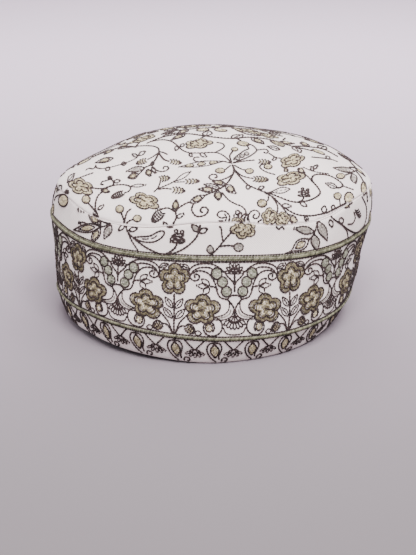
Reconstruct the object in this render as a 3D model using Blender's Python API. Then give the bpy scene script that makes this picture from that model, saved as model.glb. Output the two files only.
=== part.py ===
# Embroidered round cap: an upright side band seamed to a soft domed crown panel.
# Units are metres, +Z is up, the front faces -Y, and the hem stands on z = 0.
# An angle round the cap is 0 at the front and grows towards +X.

import math
from collections import namedtuple

import bmesh
import bpy

# Heights above the hem
LOWER_HEIGHT = 0.0170  # lower row of green stitching
MIDDLE_HEIGHT = 0.0380
BELLY_HEIGHT = 0.0590  # widest level, at the upper row of green stitching
SEAM_HEIGHT = 0.0743  # where the side band is sewn to the crown
CROWN_RISE = 0.0285  # top of the crown above the seam

# Outside widths (X) and depths (Y) at those levels
HEM_WIDTH = 0.1538
HEM_DEPTH = 0.1740
LOWER_WIDTH = 0.1660
LOWER_DEPTH = 0.1890
MIDDLE_WIDTH = 0.1712
MIDDLE_DEPTH = 0.1868
BELLY_WIDTH = 0.1774
BELLY_DEPTH = 0.1834
SEAM_WIDTH = 0.1744
SEAM_DEPTH = 0.1794

# How far each level leans towards +X from the level of the belly
HEM_LEAN = -0.0054
LOWER_LEAN = -0.0032
MIDDLE_LEAN = -0.0018
SEAM_LEAN = 0.0015

# Cloth and seam
BAND_WALL = 0.0020  # embroidered cotton, interlining and turned edges together
CROWN_WALL = 0.0018
SEAM_GAP = 0.0003  # between the two pieces all along the seam
SEAM_TUCK = 0.0008  # how deep the stitches pull both edges in
SEAM_ROUND = 0.0022  # height over which each edge rolls into the seam
SEAM_WAVE = 0.0022  # the seam rides up and down by about this much
HEM_LIFT = 0.0036  # the hem curls off the surface by this much at most
CROWN_FULLNESS = 1.55  # 2 is an elliptical dome, lower is flatter at the shoulder
FOLD_DEPTH = 0.0016  # deepest soft dent

# Facets
COLUMNS = 96
ROUND_STEPS = 3
BAND_OUTER_ROWS = 11
BAND_INNER_ROWS = 8
CROWN_OUTER_ROWS = 9
CROWN_INNER_ROWS = 7
POLE_SHARE = 0.05  # radius of the last crown row, as a share of the seam's
WELD = 0.000001

CLOTH_COLOUR = (0.80, 0.78, 0.77, 1.0)
CLOTH_ROUGHNESS = 0.85

Level = namedtuple("Level", "height width depth lean")
LEVELS = (
    Level(0.0, HEM_WIDTH, HEM_DEPTH, HEM_LEAN),
    Level(LOWER_HEIGHT, LOWER_WIDTH, LOWER_DEPTH, LOWER_LEAN),
    Level(MIDDLE_HEIGHT, MIDDLE_WIDTH, MIDDLE_DEPTH, MIDDLE_LEAN),
    Level(BELLY_HEIGHT, BELLY_WIDTH, BELLY_DEPTH, 0.0),
    Level(SEAM_HEIGHT, SEAM_WIDTH, SEAM_DEPTH, SEAM_LEAN),
)

# Crests (+) and dips (-) of the seam, with angles in degrees and the lift as a share of SEAM_WAVE
SeamWave = namedtuple("SeamWave", "angle half_angle lift")
SEAM_WAVES = (
    SeamWave(1, 23, 1.0),
    SeamWave(34, 24, -1.0),
    SeamWave(64, 27, 1.2),
    SeamWave(112, 26, -0.8),
    SeamWave(132, 24, 1.1),
    SeamWave(150, 30, 0.7),
    SeamWave(-170, 26, -0.6),
    SeamWave(-116, 36, -1.4),
    SeamWave(-68, 24, 0.9),
    SeamWave(-37, 34, -1.5),
)

# Where the hem curls up, with the lift as a share of HEM_LIFT
HemCurl = namedtuple("HemCurl", "angle half_angle lift")
HEM_CURLS = (
    HemCurl(-50, 58, 1.0),
    HemCurl(66, 26, 0.4),
)

# Soft dents (+) and swells (-). The height is a share of the band's, angles are degrees,
# and the depth is a share of FOLD_DEPTH.
BandFold = namedtuple("BandFold", "angle height half_angle half_height depth")
BAND_FOLDS = (
    BandFold(-66, 0.86, 15, 0.17, 0.95),
    BandFold(-38, 0.60, 16, 0.30, -0.35),
    BandFold(-80, 0.20, 12, 0.22, -0.50),
    BandFold(-52, 0.10, 10, 0.20, 0.60),
    BandFold(24, 0.88, 20, 0.15, 0.35),
    BandFold(52, 0.45, 18, 0.30, 0.50),
    BandFold(78, 0.12, 14, 0.25, 0.50),
    BandFold(128, 0.55, 20, 0.35, 0.60),
    BandFold(172, 0.75, 22, 0.25, 0.45),
    BandFold(-142, 0.40, 20, 0.35, 0.70),
)

# The radius is a share of the seam's radius.
CrownFold = namedtuple("CrownFold", "angle radius half_width depth")
CROWN_FOLDS = (
    CrownFold(-70, 0.86, 0.20, 0.70),
    CrownFold(-30, 0.90, 0.18, 0.60),
    CrownFold(40, 0.84, 0.20, 0.50),
    CrownFold(62, 0.62, 0.28, -0.90),
    CrownFold(-98, 0.93, 0.22, 1.80),
    CrownFold(-108, 0.80, 0.34, 2.60),
    CrownFold(-124, 0.80, 0.30, 1.30),
    CrownFold(150, 0.60, 0.24, 0.70),
    CrownFold(-160, 0.78, 0.22, 0.80),
    CrownFold(104, 0.77, 0.27, -2.10),
    CrownFold(114, 0.90, 0.18, -1.80),
)


def smooth_drop(distance):
    """1 at no distance, falling smoothly to 0 at a distance of 1."""
    return 0.0 if distance >= 1 else (1 - distance * distance) ** 2


def angle_between(first, second):
    """Degrees between two directions round the cap."""
    return abs((first - second + 180) % 360 - 180)


def level_slope(index, column):
    """Slope of one column of LEVELS at a level, against height."""
    before = LEVELS[max(index - 1, 0)]
    after = LEVELS[min(index + 1, len(LEVELS) - 1)]
    return (after[column] - before[column]) / (after.height - before.height)


def level_at(height):
    """Width, depth and lean of the band at a height, on smooth curves through LEVELS."""
    height = min(max(height, 0.0), SEAM_HEIGHT)
    low = max(i for i in range(len(LEVELS) - 1) if LEVELS[i].height <= height)
    below, above = LEVELS[low], LEVELS[low + 1]
    span = above.height - below.height
    t = (height - below.height) / span
    found = []
    for column in (1, 2, 3):
        start, end = below[column], above[column]
        leave = level_slope(low, column) * span
        arrive = level_slope(low + 1, column) * span
        found.append(
            start * (1 + 2 * t) * (1 - t) ** 2
            + end * t * t * (3 - 2 * t)
            + leave * t * (1 - t) ** 2
            + arrive * t * t * (t - 1)
        )
    return found


def seam_lift(angle):
    """How far the seam rides above its mean height at an angle."""
    return SEAM_WAVE * sum(
        wave.lift * smooth_drop(angle_between(angle, wave.angle) / wave.half_angle)
        for wave in SEAM_WAVES
    )


def hem_lift(angle):
    """How far the hem curls up off the surface at an angle."""
    return HEM_LIFT * sum(
        curl.lift * smooth_drop(angle_between(angle, curl.angle) / curl.half_angle)
        for curl in HEM_CURLS
    )


def band_dent(angle, share):
    """How far the band's surface is pushed in at an angle and a share of its height."""
    return FOLD_DEPTH * sum(
        fold.depth
        * smooth_drop(
            math.hypot(
                angle_between(angle, fold.angle) / fold.half_angle,
                (share - fold.height) / fold.half_height,
            )
        )
        for fold in BAND_FOLDS
    )


def crown_dent(angle, radius_share):
    """How far the crown's surface is pushed down at a place in plan."""
    turn = math.radians(angle)
    total = 0.0
    for fold in CROWN_FOLDS:
        other = math.radians(fold.angle)
        apart = math.hypot(
            radius_share * math.sin(turn) - fold.radius * math.sin(other),
            radius_share * math.cos(turn) - fold.radius * math.cos(other),
        )
        total += fold.depth * smooth_drop(apart / fold.half_width)
    return FOLD_DEPTH * total


def ellipse_point(angle, width, depth, lean, inset, height):
    """A point on an oval outline, moved straight in by inset."""
    turn = math.radians(angle)
    across, along = width / 2 - inset, depth / 2 - inset
    return (lean + across * math.sin(turn), -along * math.cos(turn), height)


def seam_tuck(fall):
    """Inset of an edge at a distance from the seam, as a quarter round."""
    if fall >= SEAM_ROUND:
        return 0.0
    share = 1 - fall / SEAM_ROUND
    return SEAM_TUCK * (1 - math.sqrt(1 - share * share))


def band_point(angle, share, inner):
    """A point on the side band's outer or inner face, at a share of its height."""
    mean_height = share * SEAM_HEIGHT
    width, depth, lean = level_at(mean_height)
    height = mean_height + seam_lift(angle) * share**3 + hem_lift(angle) * (1 - share) ** 3
    inset = band_dent(angle, share)
    if inner:
        step = SEAM_HEIGHT / 100
        wider, _, _ = level_at(mean_height + step)
        thinner, _, _ = level_at(mean_height - step)
        slope = (wider - thinner) / (4 * step)
        inset += BAND_WALL * math.sqrt(1 + slope * slope)
    else:
        inset += seam_tuck((1 - share) * SEAM_HEIGHT)
    return ellipse_point(angle, width, depth, lean, inset, height)


def crown_point(angle, turn_up, inner):
    """A point on the crown. turn_up runs from 0 at the seam to 90 degrees at the pole."""
    climb = math.radians(turn_up)
    power = 2 / CROWN_FULLNESS
    radius_share = max(math.cos(climb), 0.0) ** power
    rise_share = math.sin(climb) ** power
    wall = CROWN_WALL if inner else 0.0
    height = SEAM_HEIGHT + SEAM_GAP + (CROWN_RISE - SEAM_GAP - wall) * rise_share
    height += seam_lift(angle) * radius_share**4
    height -= crown_dent(angle, radius_share) * rise_share
    tuck = 0.0 if inner else seam_tuck(CROWN_RISE * rise_share)
    across = (SEAM_WIDTH / 2 - wall - tuck) * radius_share
    along = (SEAM_DEPTH / 2 - wall - tuck) * radius_share
    turn = math.radians(angle)
    lean = SEAM_LEAN * radius_share
    return (lean + across * math.sin(turn), -along * math.cos(turn), height)


def band_shares():
    """Shares of the band's height for its outer rows, closer together where the edge rolls in."""
    full = 1 - SEAM_ROUND / SEAM_HEIGHT
    plain = [full * row / BAND_OUTER_ROWS for row in range(BAND_OUTER_ROWS + 1)]
    rolled = [
        full + (1 - full) * math.sin(math.pi / 2 * step / ROUND_STEPS)
        for step in range(1, ROUND_STEPS + 1)
    ]
    return plain + rolled


def crown_climbs(rows, rolled):
    """Climb angles of the crown's rows, with extra ones beside the seam if it rolls in there."""
    last = math.degrees(math.acos(POLE_SHARE ** (CROWN_FULLNESS / 2)))
    first = math.degrees(math.asin((SEAM_ROUND / CROWN_RISE) ** (CROWN_FULLNESS / 2)))
    edge = []
    if rolled:
        for step in range(ROUND_STEPS):
            share = 1 - math.cos(math.pi / 2 * step / ROUND_STEPS)
            rise = share * SEAM_ROUND / CROWN_RISE
            edge.append(math.degrees(math.asin(rise ** (CROWN_FULLNESS / 2))))
    else:
        edge.append(0.0)
    return edge + [first + (last - first) * row / rows for row in range(rows + 1)]


def loft(mesh, places):
    """Skins the loops that each place(angle) gives, each extruded from the one before. Returns the last."""
    angles = mesh.verts.layers.float.new("angle")
    made = bmesh.ops.create_circle(mesh, segments=COLUMNS, radius=1.0)
    for vertex in made["verts"]:
        vertex[angles] = math.degrees(math.atan2(vertex.co.x, -vertex.co.y))
        vertex.co = places[0](vertex[angles])
    loop = list({edge for vertex in made["verts"] for edge in vertex.link_edges})
    for place in places[1:]:
        grown = bmesh.ops.extrude_edge_only(mesh, edges=loop)["geom"]
        for vertex in (item for item in grown if isinstance(item, bmesh.types.BMVert)):
            vertex.co = place(vertex[angles])
        rims = [item for item in grown if isinstance(item, bmesh.types.BMEdge)]
        loop = [edge for edge in rims if len(edge.link_faces) == 1]
    return loop


def close_pole(mesh, ring, height):
    """Closes a small loop with a fan of faces whose middle is at a height."""
    lid = bmesh.ops.contextual_create(mesh, geom=ring)["faces"]
    centre = bmesh.ops.poke(mesh, faces=lid)["verts"][0]
    centre.co.z = height


def cloth_material(name):
    """Plain off-white cotton."""
    material = bpy.data.materials.new(name)
    material.use_nodes = True
    shader = material.node_tree.nodes["Principled BSDF"]
    shader.inputs["Base Color"].default_value = CLOTH_COLOUR
    shader.inputs["Roughness"].default_value = CLOTH_ROUGHNESS
    shader.inputs["Metallic"].default_value = 0.0
    return material


def add_object(name, mesh):
    """A smooth-shaded object from a finished bmesh."""
    bmesh.ops.recalc_face_normals(mesh, faces=mesh.faces)
    bmesh.ops.triangulate(mesh, faces=mesh.faces)
    data = bpy.data.meshes.new(name)
    mesh.to_mesh(data)
    mesh.free()
    data.shade_smooth()
    data.set_sharp_from_angle(angle=math.radians(40))
    data.materials.append(cloth_material(name + "_cotton"))
    made = bpy.data.objects.new(name, data)
    bpy.context.scene.collection.objects.link(made)
    return made


def make_side_band():
    """The upright wall of the cap, from its flat hem to the seam and back down its inside."""
    mesh = bmesh.new()
    outer = [
        lambda angle, s=share: band_point(angle, s, inner=False) for share in band_shares()
    ]
    inner = [
        lambda angle, s=row / BAND_INNER_ROWS: band_point(angle, s, inner=True)
        for row in range(BAND_INNER_ROWS + 1)
    ]
    loft(mesh, outer + inner[::-1] + outer[:1])
    bmesh.ops.remove_doubles(mesh, verts=mesh.verts, dist=WELD)
    return add_object("side_band", mesh)


def make_crown():
    """The soft domed panel that closes the cap, from its inner pole round its edge to its outer one."""
    mesh = bmesh.new()
    outer = [
        lambda angle, c=climb: crown_point(angle, c, inner=False)
        for climb in crown_climbs(CROWN_OUTER_ROWS, rolled=True)
    ]
    inner = [
        lambda angle, c=climb: crown_point(angle, c, inner=True)
        for climb in crown_climbs(CROWN_INNER_ROWS, rolled=False)
    ]
    outer_pole = loft(mesh, inner[::-1] + outer)
    inner_pole = [edge for edge in mesh.edges if edge.is_boundary and edge not in outer_pole]
    top = SEAM_HEIGHT + CROWN_RISE
    close_pole(mesh, inner_pole, top - CROWN_WALL)
    close_pole(mesh, outer_pole, top)
    return add_object("crown", mesh)


def main():
    for old in list(bpy.data.objects):
        bpy.data.objects.remove(old)
    make_side_band()
    make_crown()


main()
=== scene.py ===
import math
import random

import bmesh
import bpy
import numpy as np
from mathutils import Matrix, Vector, noise
from mathutils.bvhtree import BVHTree


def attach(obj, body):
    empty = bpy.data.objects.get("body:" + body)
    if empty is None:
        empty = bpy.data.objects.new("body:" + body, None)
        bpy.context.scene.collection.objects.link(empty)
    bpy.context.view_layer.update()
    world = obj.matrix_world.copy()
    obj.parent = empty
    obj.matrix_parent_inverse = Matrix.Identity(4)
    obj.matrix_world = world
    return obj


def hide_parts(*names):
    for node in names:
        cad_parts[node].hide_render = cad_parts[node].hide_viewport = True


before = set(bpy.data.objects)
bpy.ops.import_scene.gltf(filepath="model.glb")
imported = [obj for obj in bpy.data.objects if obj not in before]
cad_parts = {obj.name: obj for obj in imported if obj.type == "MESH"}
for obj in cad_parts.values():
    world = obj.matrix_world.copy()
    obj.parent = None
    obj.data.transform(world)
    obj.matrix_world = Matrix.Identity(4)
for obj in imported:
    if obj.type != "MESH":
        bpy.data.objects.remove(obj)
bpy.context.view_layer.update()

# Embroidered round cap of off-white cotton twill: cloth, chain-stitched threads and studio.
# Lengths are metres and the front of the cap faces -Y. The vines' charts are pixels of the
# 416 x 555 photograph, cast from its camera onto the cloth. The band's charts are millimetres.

random.seed(7)
mm = 0.001


def addObject(name, data):
    made = bpy.data.objects.new(name, data)
    bpy.context.scene.collection.objects.link(made)
    return made


# the camera

camera = {
    "place": (0.0006, -0.734, 0.270),
    "lookDown": 19.0,  # degrees below level
    "turnLeft": 0.2,
    "focalPixels": 1358.0,
    "photoSize": (416, 555),
    "sensor": 36.0,  # mm, along the taller side
}


def addCamera():
    data = bpy.data.cameras.new("photoCamera")
    data.sensor_width = camera["sensor"]
    data.lens = camera["focalPixels"] / camera["photoSize"][1] * camera["sensor"]
    data.clip_start = 0.01
    shown = addObject("photoCamera", data)
    shown.location = camera["place"]
    shown.rotation_euler = (math.radians(90 - camera["lookDown"]), 0.0, math.radians(camera["turnLeft"]))
    bpy.context.scene.camera = shown
    bpy.context.view_layer.update()
    return shown.matrix_world.copy()


cameraMatrix = addCamera()
print("camera set")


# materials

def newMaterial(name, colour, roughness, specular=0.3, sheen=0.0, sheenRoughness=0.5):
    material = bpy.data.materials.new(name)
    material.use_nodes = True
    shader = material.node_tree.nodes["Principled BSDF"]
    shader.inputs["Base Color"].default_value = (*colour, 1.0)
    shader.inputs["Roughness"].default_value = roughness
    shader.inputs["Specular IOR Level"].default_value = specular
    shader.inputs["Sheen Weight"].default_value = sheen
    shader.inputs["Sheen Roughness"].default_value = sheenRoughness
    return material, shader


def addNode(material, kind, **settings):
    node = material.node_tree.nodes.new(kind)
    for name, value in settings.items():
        if name in node.inputs:
            node.inputs[name].default_value = value
        else:
            setattr(node, name, value)
    return node


def mathNode(material, operation, second):
    node = addNode(material, "ShaderNodeMath", operation=operation)
    node.inputs[1].default_value = second
    return node


def mixNode(material, dark, light):
    node = addNode(material, "ShaderNodeMix", data_type="RGBA")
    node.inputs["A"].default_value = (*dark, 1)
    node.inputs["B"].default_value = (*light, 1)
    return node


def wire(material, *joins):
    # each join is a node and its output, then a node and its input
    for source, output, target, entry in joins:
        material.node_tree.links.new(source.outputs[output], target.inputs[entry])


cotton = {
    "colour": (0.955, 0.85, 0.815),
    "shadeColour": (0.60, 0.53, 0.51),  # painted shade, in the valleys between the ribs
    "mottleTint": (0.93, 0.92, 0.94),
    "mottleScale": 60.0,
    "roughness": 0.86,
    "specular": 0.18,
    "sheen": 0.22,
    "sheenRoughness": 0.45,
    "ribPitch": 0.75 * mm,
    "ribAngle": 58.0,
    "ribWaver": 0.5,
    "yarnPitch": 0.42 * mm,
    "yarnShare": 0.35,  # against the ribs
    "slubScale": 900.0,
    "slubShare": 0.5,
    "toneRange": (0.2, 1.3),
    "bump": 0.07 * mm,
}


def cottonMaterial(name):
    material, shader = newMaterial(
        name, cotton["colour"], cotton["roughness"], cotton["specular"], cotton["sheen"], cotton["sheenRoughness"]
    )
    uv = addNode(material, "ShaderNodeUVMap", uv_map="cloth")
    place = addNode(material, "ShaderNodeTexCoord")
    waveUnit = 2 * math.pi / 20  # a wave texture repeats once in this length at scale 1
    ribTurn = addNode(material, "ShaderNodeMapping", Rotation=(0, 0, math.radians(cotton["ribAngle"])))
    ribs = addNode(material, "ShaderNodeTexWave", bands_direction="X", Scale=waveUnit / cotton["ribPitch"])
    ribs.inputs["Distortion"].default_value = cotton["ribWaver"]
    ribs.inputs["Detail Scale"].default_value = 2.0
    yarns = addNode(material, "ShaderNodeTexWave", bands_direction="Y", Scale=waveUnit / cotton["yarnPitch"])
    mottle = addNode(material, "ShaderNodeTexNoise", Scale=cotton["mottleScale"], Detail=3.0)
    slubs = addNode(material, "ShaderNodeTexNoise", Scale=cotton["slubScale"], Detail=2.0)
    # painted shade: where the ribs and yarns sink, the colour is mixed towards the shade colour; the slubs add to
    # the same relief and vary the tone at random
    weave = mathNode(material, "MULTIPLY_ADD", cotton["yarnShare"])
    weaveShadeAndSlubs = mathNode(material, "MULTIPLY_ADD", cotton["slubShare"])
    tone = addNode(material, "ShaderNodeMapRange")
    tone.inputs["From Min"].default_value, tone.inputs["From Max"].default_value = cotton["toneRange"]
    mix = mixNode(material, cotton["shadeColour"], cotton["colour"])
    tint = mixNode(material, cotton["colour"], cotton["mottleTint"])
    tint.blend_type = "MULTIPLY"
    bump = addNode(material, "ShaderNodeBump", Strength=0.8, Distance=cotton["bump"])
    wire(
        material,
        (uv, "UV", ribTurn, "Vector"),
        (ribTurn, "Vector", ribs, "Vector"),
        (uv, "UV", yarns, "Vector"),
        (place, "Object", mottle, "Vector"),
        (place, "Object", slubs, "Vector"),
        (yarns, "Fac", weave, 0),
        (ribs, "Fac", weave, 2),
        (slubs, "Fac", weaveShadeAndSlubs, 0),
        (weave, "Value", weaveShadeAndSlubs, 2),
        (weaveShadeAndSlubs, "Value", tone, "Value"),
        (tone, "Result", mix, "Factor"),
        (mottle, "Fac", tint, "Factor"),
        (mix, "Result", tint, "A"),
        (tint, "Result", shader, "Base Color"),
        (weaveShadeAndSlubs, "Value", bump, "Height"),
        (bump, "Normal", shader, "Normal"),
    )
    return material


threads = {  # colour, its lighter strands, roughness
    "brownThread": ((0.010, 0.005, 0.006), (0.052, 0.030, 0.029), 0.66),
    "khakiThread": ((0.17, 0.13, 0.065), (0.74, 0.63, 0.43), 0.5),
    "oliveThread": ((0.024, 0.017, 0.008), (0.305, 0.25, 0.15), 0.5),
    "sageThread": ((0.10, 0.10, 0.07), (0.46, 0.455, 0.36), 0.5),
    "greenThread": ((0.026, 0.024, 0.012), (0.285, 0.272, 0.178), 0.5),
    "paleThread": ((0.17, 0.14, 0.125), (0.46, 0.41, 0.37), 0.6),
    "tealThread": ((0.01, 0.16, 0.14), (0.02, 0.30, 0.26), 0.55),
}


threadLook = {
    "specular": 0.25,
    "sheen": 0.06,
    "sheenRoughness": 0.4,
    "fibreScale": 1500.0,
    "fibreShare": 0.35,  # against each link's own shade
    "twistAngle": 35,
    "twists": 3.0,
    "bump": 0.05 * mm,
}


def threadMaterial(name):
    colour, light, roughness = threads[name]
    material, shader = newMaterial(
        name, colour, roughness, threadLook["specular"], threadLook["sheen"], threadLook["sheenRoughness"]
    )
    shade = addNode(material, "ShaderNodeAttribute", attribute_name="shade")
    place = addNode(material, "ShaderNodeTexCoord")
    fibres = addNode(material, "ShaderNodeTexNoise", Scale=threadLook["fibreScale"], Detail=2.0)
    tone = mathNode(material, "MULTIPLY_ADD", threadLook["fibreShare"])
    mix = mixNode(material, colour, light)
    uv = addNode(material, "ShaderNodeUVMap", uv_map="strand")
    turn = addNode(material, "ShaderNodeMapping", Rotation=(0, 0, math.radians(threadLook["twistAngle"])))
    twist = addNode(material, "ShaderNodeTexWave", bands_direction="X", Scale=threadLook["twists"])
    bump = addNode(material, "ShaderNodeBump", Strength=0.5, Distance=threadLook["bump"])
    wire(
        material,
        (place, "Object", fibres, "Vector"),
        (fibres, "Fac", tone, 0),
        (shade, "Fac", tone, 2),
        (tone, "Value", mix, "Factor"),
        (mix, "Result", shader, "Base Color"),
        (uv, "UV", turn, "Vector"),
        (turn, "Vector", twist, "Vector"),
        (twist, "Fac", bump, "Height"),
        (bump, "Normal", shader, "Normal"),
    )
    return material


# the two cloth pieces

cloth = {
    "levels": 2,  # subdivision of the CAD panels
    "creaseDepth": 0.70 * mm,  # long soft creases
    "creaseLength": 34 * mm,
    "crumpleDepth": 0.16 * mm,
    "crumpleLength": 9 * mm,
    "puckerDepth": 0.55 * mm,  # where the seam's stitches gather the cloth
    "puckerLength": 7.5 * mm,
    "puckerReach": 6 * mm,
    "still": 1.4 * mm,  # the edge itself stays where the seam holds it
    "meanRadius": 0.0905,
    "crownStretch": 0.25,  # more weave on the crown's steep rim
    "columns": 96,  # round the cap, where its edges are read
}


def angleOf(x, y):
    return math.degrees(math.atan2(x, -y))


def outward(angle):
    turn = math.radians(angle)
    return Vector((math.sin(turn), -math.cos(turn), 0))


def edgeHeights(node, highest):
    # top or bottom of a node's outline, column by column
    count = cloth["columns"]
    columns = {}
    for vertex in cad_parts[node].data.vertices:
        column = round(angleOf(vertex.co.x, vertex.co.y) / (360 / count)) % count
        columns.setdefault(column, []).append(vertex.co.z)
    return [max(columns[i]) if highest else min(columns[i]) for i in range(count)]


seamLine = edgeHeights("side_band", True)
hemLine = edgeHeights("side_band", False)


def alongEdge(line, angle):
    count = len(line)
    column = (angle / (360 / count)) % count
    low = int(column)
    part = column - low
    return line[low % count] * (1 - part) + line[(low + 1) % count] * part


def wrinkle(point):
    # how far the cloth stands off its smooth form at a point
    angle = angleOf(point.x, point.y)
    fall = abs(point.z - alongEdge(seamLine, angle))
    crease = noise.noise(point / cloth["creaseLength"] + Vector((3.1, 7.7, 1.3)))
    crumple = noise.noise(point / cloth["crumpleLength"])
    around = Vector((point.x, point.y, 0)) / cloth["puckerLength"]
    pucker = noise.noise(around + Vector((11.0, 2.0, 5.0)))
    gather = math.exp(-fall / cloth["puckerReach"]) * cloth["puckerDepth"]
    held = min(fall, point.z + 0.4 * mm) / cloth["still"]
    total = cloth["creaseDepth"] * crease + cloth["crumpleDepth"] * crumple + gather * pucker
    return total * min(1.0, held)


def clothPiece(node, name):
    work = bmesh.new()
    work.from_mesh(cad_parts[node].data)
    bmesh.ops.remove_doubles(work, verts=work.verts, dist=0.01 * mm)
    bmesh.ops.join_triangles(
        work, faces=work.faces, angle_face_threshold=math.radians(50), angle_shape_threshold=math.radians(60)
    )
    mesh = bpy.data.meshes.new(name)
    work.to_mesh(mesh)
    work.free()
    piece = addObject(name, mesh)
    finer = piece.modifiers.new("finer", "SUBSURF")
    finer.levels = finer.render_levels = cloth["levels"]
    graph = bpy.context.evaluated_depsgraph_get()
    fine = bpy.data.meshes.new_from_object(piece.evaluated_get(graph))
    piece.modifiers.clear()
    piece.data = fine
    fine.name = name
    for vertex in fine.vertices:
        point = vertex.co.copy()
        out = Vector((point.x, point.y, 0)).normalized()
        if node == "crown":
            out = Vector((0, 0, 1))
        vertex.co = point + out * wrinkle(point)
    clothUv(fine, node)
    fine.shade_smooth()
    fine.materials.clear()
    fine.materials.append(cottonMaterial(name + "Twill"))
    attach(piece, "root")
    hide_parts(node)
    print("cloth:", name, len(fine.polygons), "faces")
    return piece


def clothUv(mesh, node):
    # metres along the cloth, so that the weave keeps its scale
    layer = mesh.uv_layers.get("cloth") or mesh.uv_layers.new(name="cloth")
    meanRadius = cloth["meanRadius"]
    for face in mesh.polygons:
        middle = angleOf(face.center.x, face.center.y)
        for corner in face.loop_indices:
            point = mesh.vertices[mesh.loops[corner].vertex_index].co
            if node == "crown":
                reach = math.hypot(point.x, point.y)
                stretch = 1 + cloth["crownStretch"] * (reach / meanRadius) ** 4
                layer.data[corner].uv = (point.x * stretch, point.y * stretch)
            else:
                angle = angleOf(point.x, point.y)
                angle -= 360 * round((angle - middle) / 360)
                layer.data[corner].uv = (math.radians(angle) * meanRadius, point.z)


crownCloth = clothPiece("crown", "crown_cloth")
bandCloth = clothPiece("side_band", "side_band_cloth")


# the outer skin that the threads lie on

def outerSkin(piece, isOuter):
    points = [vertex.co[:] for vertex in piece.data.vertices]
    faces = [tuple(face.vertices) for face in piece.data.polygons if isOuter(face)]
    return BVHTree.FromPolygons(points, faces)


leastShare = {"up": 0.02, "out": 0.3}  # of a face's normal, for a face of the outer skin


def facesUp(face):
    return face.normal.z > leastShare["up"]


def facesOut(face):
    out = Vector((face.center.x, face.center.y, 0)).normalized()
    return face.normal.dot(out) > leastShare["out"]


crownSkin = outerSkin(crownCloth, facesUp)
bandSkin = outerSkin(bandCloth, facesOut)
castFrom = 0.2  # well outside the cap


def castBoth(start, direction):
    # nearest hit and whether it is on the crown; nothing where the ray slips in at the seam
    top = crownSkin.ray_cast(start, direction)
    side = bandSkin.ray_cast(start, direction)
    onCrown = side[0] is None or (top[0] is not None and top[3] < side[3])
    place, normal = (top if onCrown else side)[:2]
    if place is None or normal.dot(direction) > 0:
        return None, False
    return place, onCrown


def nearestSkin(point):
    # place, normal, face and distance on the nearer of the two pieces
    return min(crownSkin.find_nearest(point), bandSkin.find_nearest(point), key=lambda found: found[3])


def fromPhoto(x, y):
    width, height = camera["photoSize"]
    ray = Vector((x - width / 2, height / 2 - y, -camera["focalPixels"])).normalized()
    return castBoth(cameraMatrix.translation, cameraMatrix.to_3x3() @ ray)


def fromBand(angle, height):
    out = outward(angle)
    return bandSkin.ray_cast(out * castFrom + Vector((0, 0, height)), -out)[0], False


# the seam's folded edges, which close the gap between the two pieces

seamFold = {
    "radius": 0.45 * mm,
    "sunk": 1.05 * mm,  # behind the band's outer face
    "readBelow": 2 * mm,  # the seam, where the band's face is still upright
    "raised": 0.15 * mm,
    "points": 192,
    "rounding": 2,
}


def addSeamFold():
    curve = bpy.data.curves.new("seam_fold", "CURVE")
    curve.dimensions = "3D"
    curve.bevel_depth = seamFold["radius"]
    curve.bevel_resolution = seamFold["rounding"]
    spline = curve.splines.new("POLY")
    spline.points.add(seamFold["points"] - 1)
    for i, point in enumerate(spline.points):
        angle = 360 * i / seamFold["points"]
        height = alongEdge(seamLine, angle)
        middle = fromBand(angle, height - seamFold["readBelow"])[0] - outward(angle) * seamFold["sunk"]
        point.co = (middle.x, middle.y, height + seamFold["raised"], 1)
    spline.use_cyclic_u = True
    shaped = addObject("seam_fold_curve", curve)
    graph = bpy.context.evaluated_depsgraph_get()
    mesh = bpy.data.meshes.new_from_object(shaped.evaluated_get(graph))
    bpy.data.objects.remove(shaped)
    mesh.name = "seam_fold"
    clothUv(mesh, "side_band")
    mesh.shade_smooth()
    mesh.materials.clear()
    mesh.materials.append(cottonMaterial("seamFoldTwill"))
    piece = addObject("seam_fold", mesh)
    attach(piece, "root")


addSeamFold()
print("seam folded")


# chain stitches

stitchKinds = {  # pitch, width and thickness in mm, and how much neighbouring links overlap
    "stem": (1.80, 1.72, 0.66, 1.34),
    "line": (1.80, 1.52, 0.56, 1.34),
    "fine": (1.56, 1.18, 0.46, 1.34),
    "fill": (1.90, 1.42, 0.50, 1.34),
    "vein": (1.60, 1.20, 0.86, 1.34),  # on top of a filling
    "ply": (2.60, 1.45, 1.15, 1.15),  # one slanting turn of a cord
}
linkShape = {  # on a link that is 1 long and 1 wide
    "steps": 6,
    "sides": 3,
    "thread": 0.26,
    "taper": 0.55,
    "tilt": 0.25,
    "sunk": 0.12,
    "shades": 0.75,  # how far the links of a colour differ
}
sewn = {}  # (piece, thread): rows of stitches


def sew(piece, thread, kind, route):
    # lays chain stitches of even length along a route of points on the cloth
    points = np.array([tuple(p) for p in route])
    if len(points) < 2:
        return
    steps = np.linalg.norm(np.diff(points, axis=0), axis=1)
    length = np.concatenate([[0], np.cumsum(steps)])
    pitch, width, thick, overlap = (value * mm for value in stitchKinds[kind])
    if length[-1] < 0.5 * pitch:
        return
    count = max(1, round(length[-1] / pitch))
    at = (np.arange(count) + 0.5) / count * length[-1]
    ahead = np.minimum(at + 0.3 * pitch, length[-1])
    behind = np.maximum(at - 0.3 * pitch, 0)

    def pick(distance):
        return np.stack([np.interp(distance, length, points[:, i]) for i in range(3)], -1)

    middle = pick(at)
    forward = pick(ahead) - pick(behind)
    for i in range(count):
        spread = width * random.uniform(0.9, 1.08)
        reach = length[-1] / count * overlap / mm
        row = (*middle[i], *forward[i], reach, spread, thick, random.random())
        sewn.setdefault((piece, thread), []).append(row)


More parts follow.
